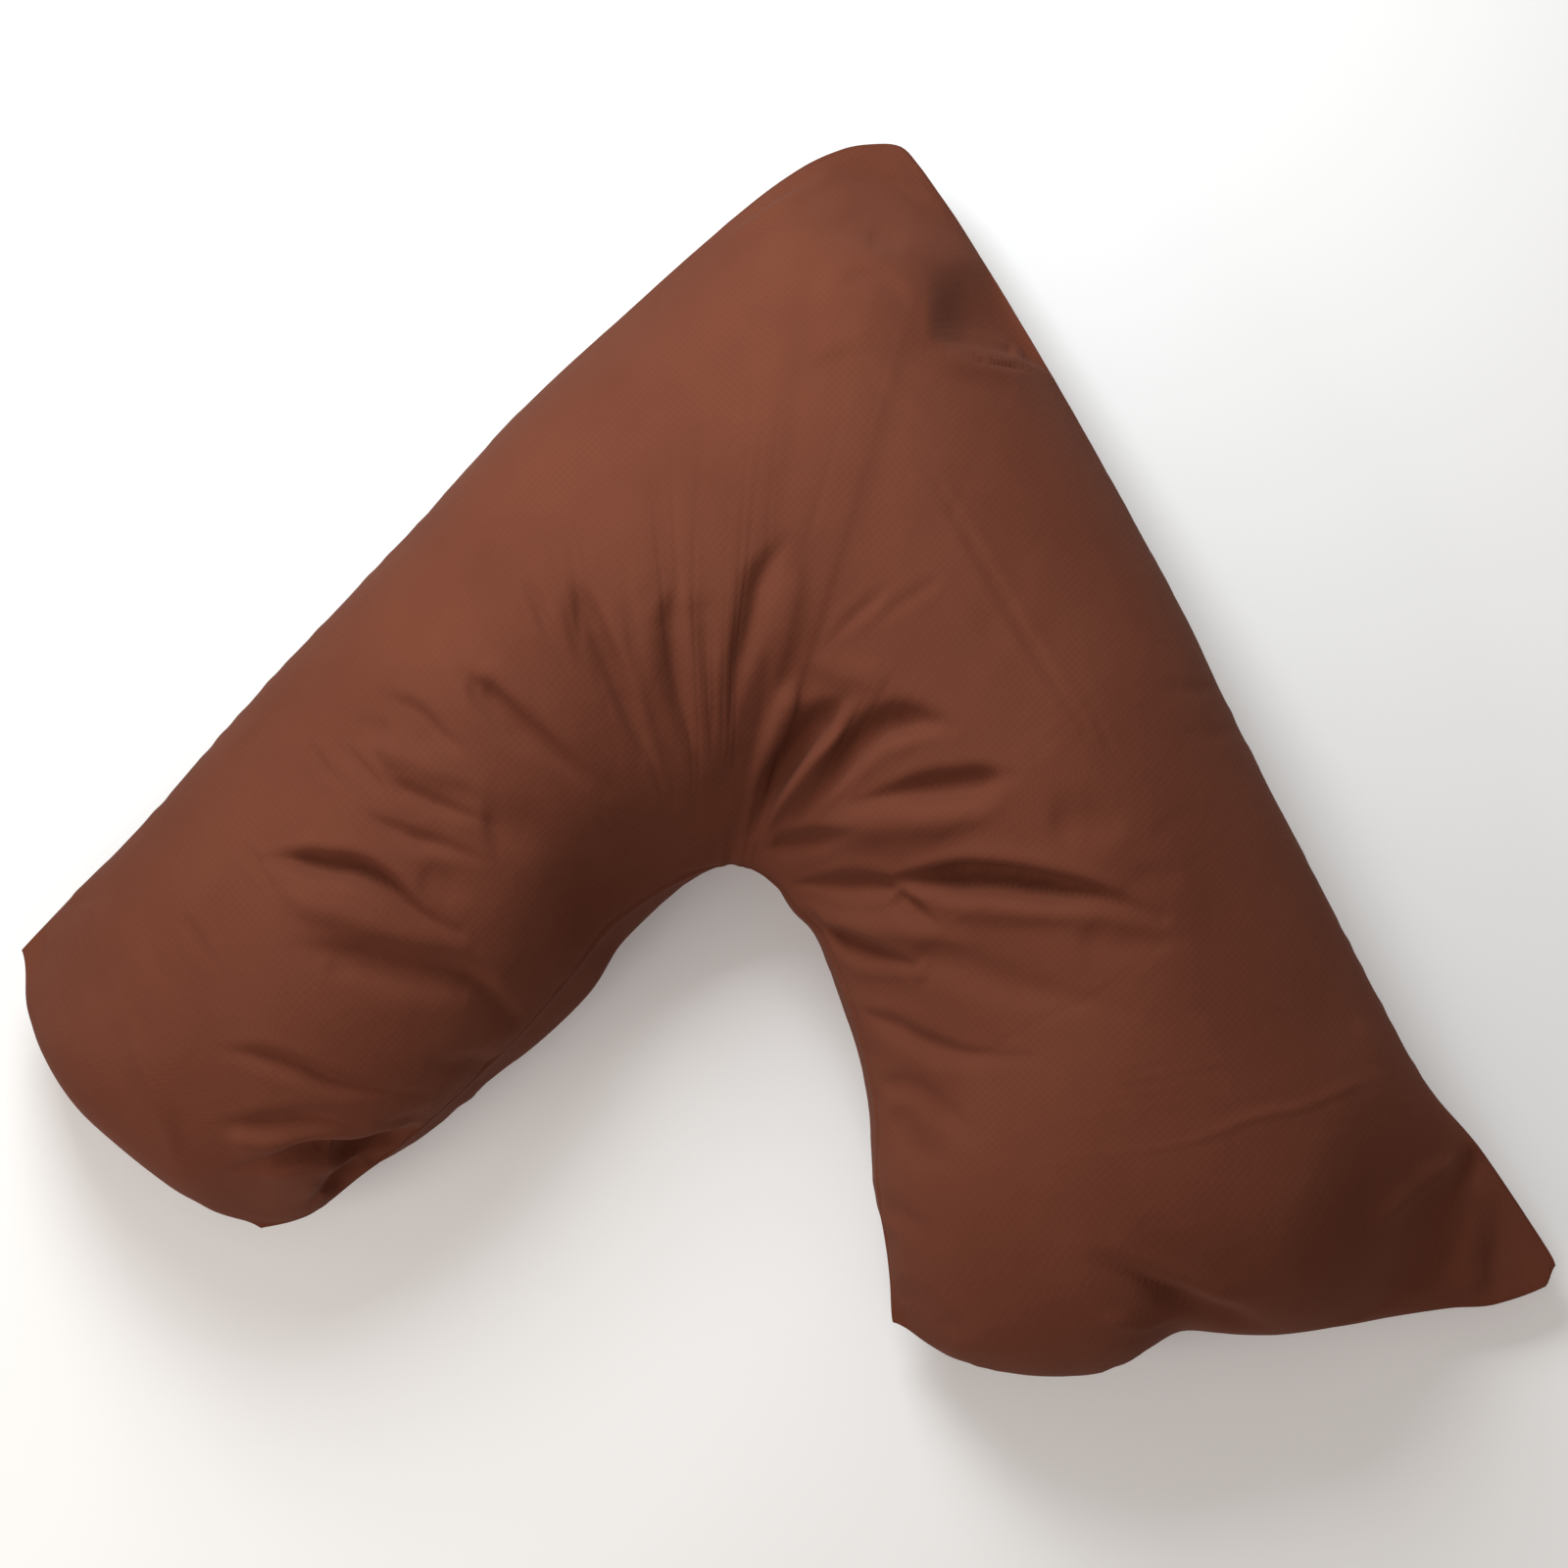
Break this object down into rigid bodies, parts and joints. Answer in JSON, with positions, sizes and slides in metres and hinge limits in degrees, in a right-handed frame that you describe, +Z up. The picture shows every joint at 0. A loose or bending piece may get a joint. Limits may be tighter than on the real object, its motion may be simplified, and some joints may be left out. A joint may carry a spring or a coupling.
{
  "type": "v shaped pillow",
  "caption": "Plump V-shaped pillow in a plain woven case, two filled arms at about 78 degrees round an open gap, lying on its back.",
  "frame": {"origin": "on the surface the pillow lies on, under the middle of its box", "axes": "+Z up out of the front panel, +Y towards the point of the V, +X towards the longer arm's free end"},
  "size_m": [0.914, 0.7332, 0.1899],
  "materials": {
    "case_cloth": "matte"
  },
  "bodies": {
    "root": {"pillow": "case_cloth"}
  },
  "joints": []
}
